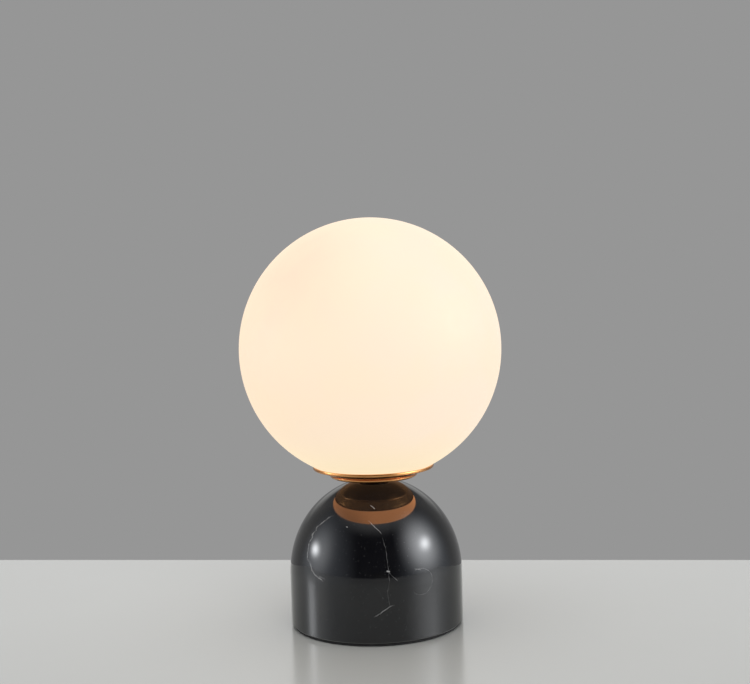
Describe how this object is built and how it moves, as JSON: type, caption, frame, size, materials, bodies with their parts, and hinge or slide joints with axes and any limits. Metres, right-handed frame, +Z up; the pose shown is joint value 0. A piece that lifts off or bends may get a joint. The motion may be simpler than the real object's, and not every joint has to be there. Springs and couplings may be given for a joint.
{
  "type": "glass globe table lamp",
  "caption": "Table lamp with an opal glass globe seated in a shallow two-tier copper dish on a polished black marble dome; the globe lifts off and the capsule bulb pulls out.",
  "frame": {"origin": "on the floor plane, under the centre of the round base", "axes": "+Z up along the lamp's axis of revolution; +Y is the back, where the cord inlet is; -Y faces the camera of the picture"},
  "size_m": [0.2, 0.2, 0.3127],
  "materials": {
    "opal_glass": "opal, gloss, lit from within",
    "copper": "polished copper",
    "black_marble": "polished black marble with fine white veins",
    "black_foam": "matt foam",
    "black_rubber": "satin",
    "black_plastic": "satin",
    "black_steel": "black coated",
    "silicone": "translucent white",
    "zinc_steel": "zinc plated",
    "spring_steel": "bright spring steel",
    "brass": "satin brass",
    "steatite": "unglazed",
    "white_ceramic": "smooth",
    "white_plastic": "satin",
    "white_board": "solder mask",
    "phosphor": "phosphor coat",
    "frosted_cover": "frosted",
    "brown_lead": "silicone sleeve",
    "blue_lead": "silicone sleeve",
    "green_lead": "silicone sleeve"
  },
  "bodies": {
    "base": {"globe_gasket": "silicone", "upper_dish": "copper", "lower_plate": "copper", "neck_spacer": "black_plastic", "marble_base": "black_marble", "base_pad": "black_foam", "bottom_cover": "black_steel", "cover_screws": "zinc_steel", "cover_inserts": "brass", "cord_grommet": "black_rubber", "threaded_rod": "zinc_steel", "rod_bushings": "white_plastic", "fitter_nut": "zinc_steel", "bottom_nut": "zinc_steel", "bracket_nut": "zinc_steel", "lock_washers": "zinc_steel", "clamp_washer": "zinc_steel", "fitter_plate": "zinc_steel", "globe_springs": "spring_steel", "spring_rivets": "brass", "pillar_tube": "brass", "holder_bracket": "zinc_steel", "holder_body": "steatite", "holder_screws": "zinc_steel", "holder_contacts": "spring_steel", "wiring_strip": "zinc_steel", "terminal_block": "white_plastic", "terminal_barrels": "brass", "terminal_screws": "zinc_steel", "block_screws": "zinc_steel", "earth_screw": "brass", "earth_tag": "brass", "live_lead": "brown_lead", "neutral_lead": "blue_lead", "earth_lead": "green_lead"},
    "globe": {"glass_globe": "opal_glass"},
    "bulb": {"bulb_envelope": "frosted_cover", "bulb_base": "white_ceramic", "bulb_pins": "spring_steel", "led_board": "white_board", "led_chips": "phosphor"}
  },
  "joints": [
    {"name": "globe_lift", "type": "slide", "parent": "base", "child": "globe", "axis": [0, 0, 1], "range_m": [0, 0.13]},
    {"name": "bulb_pull", "type": "slide", "parent": "base", "child": "bulb", "axis": [0, 0, 1], "range_m": [0, 0.03]}
  ]
}
